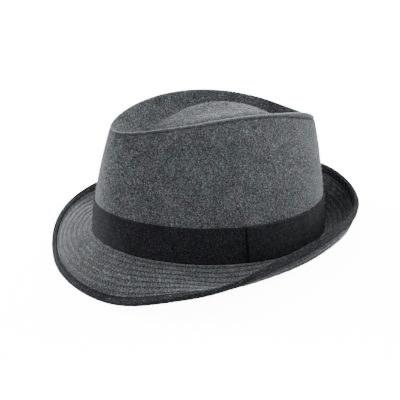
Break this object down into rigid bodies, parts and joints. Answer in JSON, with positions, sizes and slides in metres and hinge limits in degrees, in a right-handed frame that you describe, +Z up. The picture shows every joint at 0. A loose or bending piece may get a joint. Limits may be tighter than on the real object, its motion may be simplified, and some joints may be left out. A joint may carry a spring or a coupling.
{
  "type": "trilby hat",
  "caption": "Sewn wool trilby: teardrop crown with a ridge, groove and dome on top, dark band with a flat overlap, stitched brim down in front and turned up behind, bound edge.",
  "frame": {"origin": "middle of the bounding box, on the surface that the hat rests on", "axes": "+Z up from the resting surface, -Y towards the front of the brim, +X towards the wearer's left"},
  "size_m": [0.2596, 0.2674, 0.1252],
  "materials": {
    "wool_cloth": "heathered grey wool cloth, matt, slightly fuzzy",
    "binding_cloth": "dark grey woven cloth, matt",
    "band_cloth": "charcoal woven cloth, matt"
  },
  "bodies": {
    "root": {"crown_side": "wool_cloth", "crown_tip": "wool_cloth", "brim": "wool_cloth", "brim_binding": "binding_cloth", "hat_band": "band_cloth", "band_tab": "band_cloth"}
  },
  "joints": []
}
